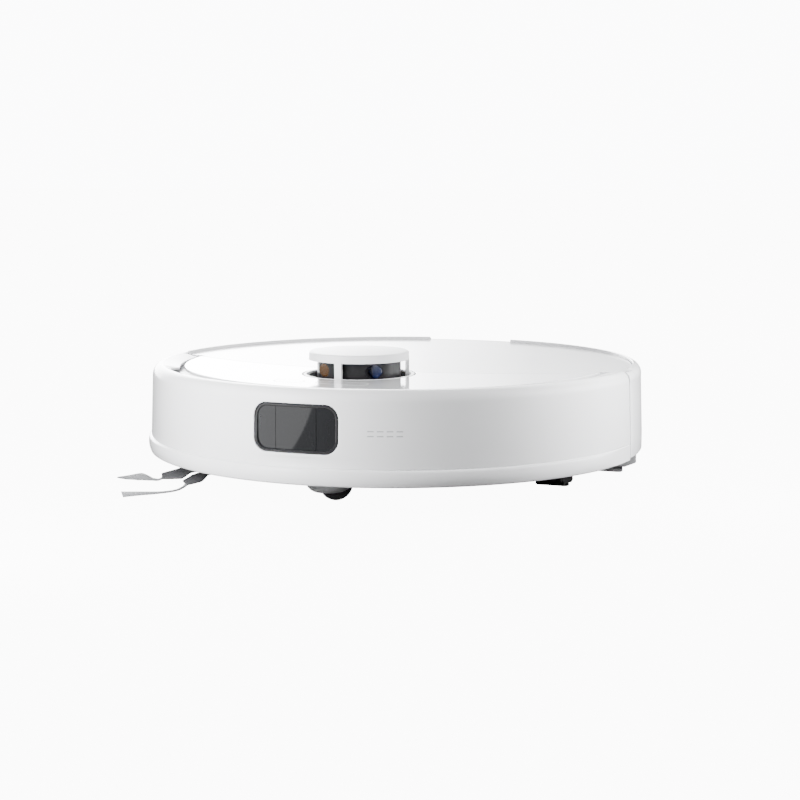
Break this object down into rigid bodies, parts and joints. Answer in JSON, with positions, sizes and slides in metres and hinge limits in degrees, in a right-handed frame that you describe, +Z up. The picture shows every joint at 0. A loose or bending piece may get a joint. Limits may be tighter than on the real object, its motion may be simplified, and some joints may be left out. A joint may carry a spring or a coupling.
{
  "type": "robot vacuum",
  "caption": "Round robot vacuum with sprung front bumper, laser turret, lift-off lid over bin and tank, sprung drive wheels, caster, side brush, roller and mop plate.",
  "frame": {"origin": "on the floor under the centre of the round body", "axes": "front is -Y, +Z is up, the robot's left is +X"},
  "size_m": [0.3488, 0.348, 0.095],
  "materials": {
    "white_gloss": "smooth, glossy",
    "white_satin": "satin",
    "black_gloss": "glossy",
    "black_matte": "fine grain",
    "grey_plastic": "fine grain",
    "dark_glass": "polished",
    "amber_glass": "polished",
    "blue_glass": "polished",
    "clear_smoke": "smoked, glossy",
    "board_green": "solder mask",
    "cell_wrap": "shrink wrap",
    "steel": "bright",
    "soft_rubber": "soft",
    "tread": "matte",
    "bristle": "fibre",
    "cloth": "looped pile",
    "filter_paper": "pleated"
  },
  "bodies": {
    "chassis": {"base_chassis": "black_matte", "rear_shell": "white_gloss", "top_frame": "grey_plastic", "front_top_cover": "white_gloss", "turret_bezel_ring": "white_satin", "lidar_base": "black_matte", "battery_pack": "cell_wrap", "battery_cover": "black_matte", "main_circuit_board": "board_green", "button_board": "board_green", "roller_housing": "black_matte", "roller_guard": "grey_plastic", "roller_gearmotor": "black_matte", "suction_duct": "black_matte", "fan_housing": "black_matte", "side_brush_motor": "black_matte", "caster_housing": "grey_plastic", "suspension_mount_left": "steel", "suspension_mount_right": "steel", "cliff_sensor_windows": "dark_glass", "charging_contacts": "steel", "chassis_screws": "steel", "exhaust_grille": "white_satin"},
    "bumper": {"bumper_shell": "white_gloss", "window_bezel": "black_gloss", "window_panes": "dark_glass", "camera_module": "black_matte", "line_laser_modules": "black_matte"},
    "turret": {"turret_cover": "white_satin", "turret_cap_disc": "white_satin"},
    "laser_head": {"lidar_rotor": "black_gloss", "lidar_emitter_lens": "amber_glass", "lidar_receiver_lens": "blue_glass"},
    "lid": {"rear_lid": "white_gloss", "lid_magnets": "steel"},
    "dust_bin": {"dustbin_tub": "clear_smoke", "dustbin_lid": "black_matte", "dustbin_filter": "filter_paper", "water_tank": "clear_smoke"},
    "fan_rotor": {"fan_impeller": "black_matte"},
    "roller": {"roller_core": "black_matte", "roller_fins": "soft_rubber"},
    "side_brush": {"side_brush_hub": "grey_plastic", "side_brush_arms": "soft_rubber", "side_brush_bristles": "bristle"},
    "caster_swivel": {"caster_fork": "grey_plastic", "caster_axle": "steel"},
    "caster_roller": {"caster_wheel": "black_matte"},
    "drive_arm_left": {"drive_module_left": "black_matte"},
    "drive_arm_right": {"drive_module_right": "black_matte"},
    "wheel_left": {"wheel_hub_left": "grey_plastic", "tyre_left": "tread"},
    "wheel_right": {"wheel_hub_right": "grey_plastic", "tyre_right": "tread"},
    "power_key": {"power_button": "white_gloss"},
    "home_key": {"home_button": "white_gloss"},
    "mop": {"mop_bracket": "black_matte", "mop_pad": "cloth"}
  },
  "joints": [
    {"name": "bumper_press", "type": "slide", "parent": "chassis", "child": "bumper", "axis": [0, 1, 0], "range_m": [0, 0.0018], "stiffness_N_per_m": 1500},
    {"name": "turret_press", "type": "slide", "parent": "chassis", "child": "turret", "axis": [0, 0, -1], "range_m": [0, 0.0012], "stiffness_N_per_m": 1500},
    {"name": "laser_head_spin", "type": "hinge", "parent": "chassis", "child": "laser_head", "pos_m": [0, -0.071, 0.08], "axis": [0, 0, 1], "continuous": true},
    {"name": "lid_lift", "type": "slide", "parent": "chassis", "child": "lid", "axis": [0, 0, 1], "range_m": [0, 0.12]},
    {"name": "bin_lift", "type": "slide", "parent": "chassis", "child": "dust_bin", "axis": [0, 0, 1], "range_m": [0, 0.054]},
    {"name": "fan_spin", "type": "hinge", "parent": "chassis", "child": "fan_rotor", "pos_m": [0.1, 0.074, 0.05], "axis": [0, 0, 1], "continuous": true},
    {"name": "roller_spin", "type": "hinge", "parent": "chassis", "child": "roller", "pos_m": [0, 0.005, 0.024], "axis": [1, 0, 0], "continuous": true},
    {"name": "side_brush_spin", "type": "hinge", "parent": "chassis", "child": "side_brush", "pos_m": [-0.088, -0.09, 0.014], "axis": [0, 0, 1], "continuous": true, "deforming": ["side_brush_bristles"]},
    {"name": "caster_swivel_turn", "type": "hinge", "parent": "chassis", "child": "caster_swivel", "pos_m": [-0.004, -0.114, 0.02], "axis": [0, 0, 1], "continuous": true},
    {"name": "caster_wheel_spin", "type": "hinge", "parent": "caster_swivel", "child": "caster_roller", "pos_m": [0.00008, -0.1121, 0.011], "axis": [0.4226, -0.9063, 0], "continuous": true},
    {"name": "suspension_left", "type": "hinge", "parent": "chassis", "child": "drive_arm_left", "pos_m": [0.106, 0.038, 0.046], "axis": [1, 0, 0], "range_deg": [-4, 8], "stiffness_Nm_per_rad": 60},
    {"name": "suspension_right", "type": "hinge", "parent": "chassis", "child": "drive_arm_right", "pos_m": [-0.106, 0.038, 0.046], "axis": [1, 0, 0], "range_deg": [-4, 8], "stiffness_Nm_per_rad": 60},
    {"name": "wheel_left_spin", "type": "hinge", "parent": "drive_arm_left", "child": "wheel_left", "pos_m": [0.1206, -0.015, 0.033], "axis": [1, 0, 0], "continuous": true},
    {"name": "wheel_right_spin", "type": "hinge", "parent": "drive_arm_right", "child": "wheel_right", "pos_m": [-0.1206, -0.015, 0.033], "axis": [1, 0, 0], "continuous": true},
    {"name": "power_button_press", "type": "slide", "parent": "chassis", "child": "power_key", "axis": [0, 0, -1], "range_m": [0, 0.0005], "stiffness_N_per_m": 400},
    {"name": "home_button_press", "type": "slide", "parent": "chassis", "child": "home_key", "axis": [0, 0, -1], "range_m": [0, 0.0005], "stiffness_N_per_m": 400},
    {"name": "mop_slide", "type": "slide", "parent": "chassis", "child": "mop", "axis": [0, 1, 0], "range_m": [0, 0.08]}
  ],
  "couplings": [
    {"joint": "bin_lift", "follows": "lid_lift", "ratio": 0.45}
  ]
}
